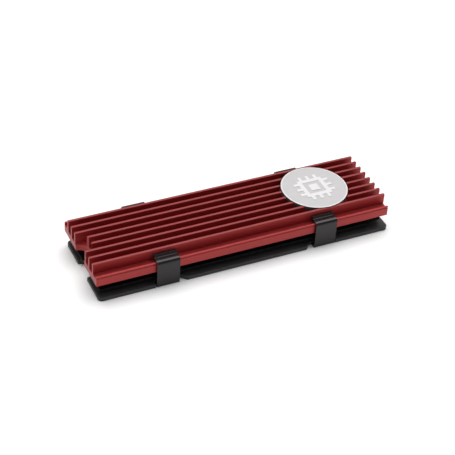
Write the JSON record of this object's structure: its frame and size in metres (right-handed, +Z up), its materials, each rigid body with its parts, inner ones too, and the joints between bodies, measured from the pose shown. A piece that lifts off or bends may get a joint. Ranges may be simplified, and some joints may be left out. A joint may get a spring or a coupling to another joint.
{
  "type": "solid state drive",
  "caption": "Card-size solid state drive clamped in a cooler: finned red heatsink over it, black backplate under it, spring clips down both long sides.",
  "frame": {"origin": "middle of the underside of the backplate, on the surface that the assembly rests on", "axes": "+X along the card towards its contact edge, +Y across the fins, +Z up out of the fins"},
  "size_m": [0.0824, 0.0252, 0.0098],
  "materials": {
    "red_anodised": "satin red anodised extrusion",
    "badge_silver": "fine satin",
    "emblem_silver": "polished",
    "adhesive": "translucent tape",
    "pad_grey": "soft matt silicone",
    "plate_black": "fine matt black",
    "clip_black": "satin black spring steel",
    "board_black": "black solder mask on glass-epoxy board",
    "gold_plate": "gold plated",
    "chip_black": "moulded chip package",
    "ferrite_grey": "pressed ferrite",
    "ceramic_tan": "ceramic with tinned ends",
    "resistor_black": "ceramic with tinned ends",
    "can_steel": "plated metal lid"
  },
  "bodies": {
    "cooler": {"heatsink": "red_anodised", "badge_disc": "badge_silver", "badge_emblem": "emblem_silver", "badge_adhesive": "adhesive", "upper_thermal_pad": "pad_grey", "lower_thermal_pad": "pad_grey", "backplate": "plate_black", "clip_left_web": "clip_black", "clip_right_web": "clip_black"},
    "drive": {"circuit_board": "board_black", "contact_fingers": "gold_plate", "screw_notch_plating": "gold_plate", "controller_chip": "chip_black", "memory_chip": "chip_black", "inner_flash_chip": "chip_black", "outer_flash_chip": "chip_black", "power_chip": "chip_black", "inductors": "ferrite_grey", "capacitors": "ceramic_tan", "resistors": "resistor_black", "crystal": "can_steel"},
    "left_front_leg": {"clip_left_front_leg": "clip_black"},
    "left_rear_leg": {"clip_left_rear_leg": "clip_black"},
    "right_front_leg": {"clip_right_front_leg": "clip_black"},
    "right_rear_leg": {"clip_right_rear_leg": "clip_black"}
  },
  "joints": [
    {"name": "left_front_clip", "type": "hinge", "parent": "cooler", "child": "left_front_leg", "pos_m": [-0.0224, -0.01235, 0.00025], "axis": [1, 0, 0], "range_deg": [0, 20], "stiffness_Nm_per_rad": 0.1, "springref_deg": -5.73},
    {"name": "left_rear_clip", "type": "hinge", "parent": "cooler", "child": "left_rear_leg", "pos_m": [-0.0224, 0.01235, 0.00025], "axis": [-1, 0, 0], "range_deg": [0, 20], "stiffness_Nm_per_rad": 0.1, "springref_deg": -5.73},
    {"name": "right_front_clip", "type": "hinge", "parent": "cooler", "child": "right_front_leg", "pos_m": [0.022, -0.01235, 0.00025], "axis": [1, 0, 0], "range_deg": [0, 20], "stiffness_Nm_per_rad": 0.1, "springref_deg": -5.73},
    {"name": "right_rear_clip", "type": "hinge", "parent": "cooler", "child": "right_rear_leg", "pos_m": [0.022, 0.01235, 0.00025], "axis": [-1, 0, 0], "range_deg": [0, 20], "stiffness_Nm_per_rad": 0.1, "springref_deg": -5.73},
    {"name": "drive_slide", "type": "slide", "parent": "cooler", "child": "drive", "axis": [1, 0, 0], "range_m": [0, 0.082]}
  ]
}
